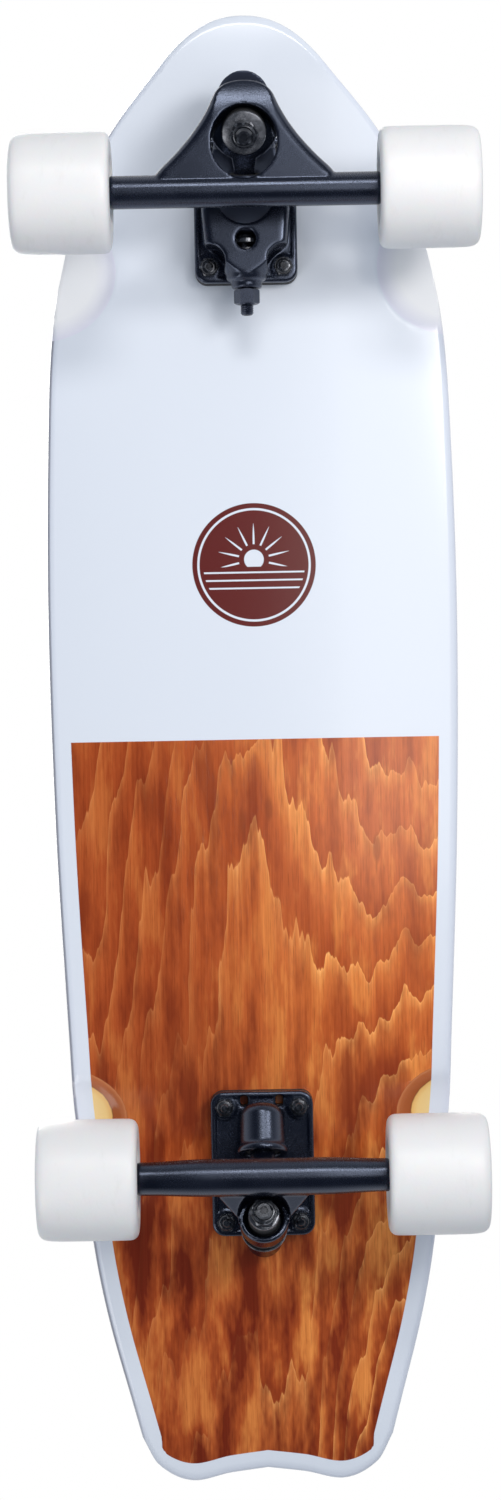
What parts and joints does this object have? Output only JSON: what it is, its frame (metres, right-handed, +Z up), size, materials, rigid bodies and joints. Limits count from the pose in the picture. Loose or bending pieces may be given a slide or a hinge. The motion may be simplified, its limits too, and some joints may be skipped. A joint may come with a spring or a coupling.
{
  "type": "surf skateboard",
  "caption": "Surf skateboard with a broad rounded-nose deck, a front truck on a sprung swivelling arm, a tilting rear truck and wide soft wheels.",
  "frame": {"origin": "middle of the board on the ground under it: the centre of the bounding box, at the wheels' lowest point", "axes": "+Y to the nose, +Z up from the ground to the deck, +X to the rider's right"},
  "size_m": [0.252, 0.825, 0.1259],
  "materials": {
    "deck_wood": "gloss lacquer over stained wood and white paint",
    "grip": "coarse grit",
    "riser_rubber": "matte",
    "casting": "satin black",
    "black_steel": "black oxide",
    "steel": "zinc plated",
    "urethane": "satin white",
    "bushing_rubber": "satin",
    "cup_plastic": "matte"
  },
  "bodies": {
    "board": {"deck": "deck_wood", "grip_tape": "grip", "front_riser": "riser_rubber", "front_baseplate": "casting", "front_swivel_bearing": "steel", "front_thrust_washer": "steel", "front_spring_plunger": "steel", "front_centring_spring": "steel", "front_spring_adjuster": "black_steel", "front_spring_locknut": "black_steel", "front_mounting_bolt_1": "black_steel", "front_mounting_bolt_2": "black_steel", "front_mounting_bolt_3": "black_steel", "front_mounting_bolt_4": "black_steel", "rear_riser": "riser_rubber", "rear_baseplate": "casting", "rear_kingpin": "black_steel", "rear_kingpin_nut": "black_steel", "rear_bushing_board": "bushing_rubber", "rear_bushing_road": "bushing_rubber", "rear_washer_board": "steel", "rear_washer_road": "steel", "rear_pivot_cup": "cup_plastic", "rear_mounting_bolt_1": "black_steel", "rear_mounting_bolt_2": "black_steel", "rear_mounting_bolt_3": "black_steel", "rear_mounting_bolt_4": "black_steel"},
    "arm": {"front_swing_arm": "casting", "front_swivel_bolt": "black_steel", "front_kingpin": "black_steel", "front_kingpin_nut": "black_steel", "front_bushing_board": "bushing_rubber", "front_bushing_road": "bushing_rubber", "front_washer_board": "steel", "front_washer_road": "steel", "front_pivot_cup": "cup_plastic"},
    "front_truck": {"front_hanger": "casting", "front_axle": "steel", "front_right_axle_nut": "black_steel", "front_left_axle_nut": "black_steel"},
    "rear_truck": {"rear_hanger": "casting", "rear_axle": "steel", "rear_right_axle_nut": "black_steel", "rear_left_axle_nut": "black_steel"},
    "wheel_front_right": {"front_right_wheel": "urethane", "front_right_bearing_inner": "steel", "front_right_bearing_outer": "steel"},
    "wheel_front_left": {"front_left_wheel": "urethane", "front_left_bearing_inner": "steel", "front_left_bearing_outer": "steel"},
    "wheel_rear_right": {"rear_right_wheel": "urethane", "rear_right_bearing_inner": "steel", "rear_right_bearing_outer": "steel"},
    "wheel_rear_left": {"rear_left_wheel": "urethane", "rear_left_bearing_inner": "steel", "rear_left_bearing_outer": "steel"}
  },
  "joints": [
    {"name": "arm_swivel", "type": "hinge", "parent": "board", "child": "arm", "pos_m": [0, 0.3035, 0.0762], "axis": [0, 0, 1], "range_deg": [-25, 25], "stiffness_Nm_per_rad": 8},
    {"name": "front_tilt", "type": "hinge", "parent": "arm", "child": "front_truck", "pos_m": [0, 0.3387, 0.0454], "axis": [0, 0.96, -0.28], "range_deg": [-12, 12], "stiffness_Nm_per_rad": 60, "deforming": ["front_bushing_board", "front_bushing_road"]},
    {"name": "rear_tilt", "type": "hinge", "parent": "board", "child": "rear_truck", "pos_m": [0, -0.2575, 0.0555], "axis": [0, 0.9298, 0.368], "range_deg": [-12, 12], "stiffness_Nm_per_rad": 60, "deforming": ["rear_bushing_board", "rear_bushing_road"]},
    {"name": "front_right_spin", "type": "hinge", "parent": "front_truck", "child": "wheel_front_right", "pos_m": [0.099, 0.301, 0.0325], "axis": [1, 0, 0], "continuous": true},
    {"name": "front_left_spin", "type": "hinge", "parent": "front_truck", "child": "wheel_front_left", "pos_m": [-0.099, 0.301, 0.0325], "axis": [1, 0, 0], "continuous": true},
    {"name": "rear_right_spin", "type": "hinge", "parent": "rear_truck", "child": "wheel_rear_right", "pos_m": [0.094, -0.2295, 0.0325], "axis": [1, 0, 0], "continuous": true},
    {"name": "rear_left_spin", "type": "hinge", "parent": "rear_truck", "child": "wheel_rear_left", "pos_m": [-0.094, -0.2295, 0.0325], "axis": [1, 0, 0], "continuous": true}
  ]
}
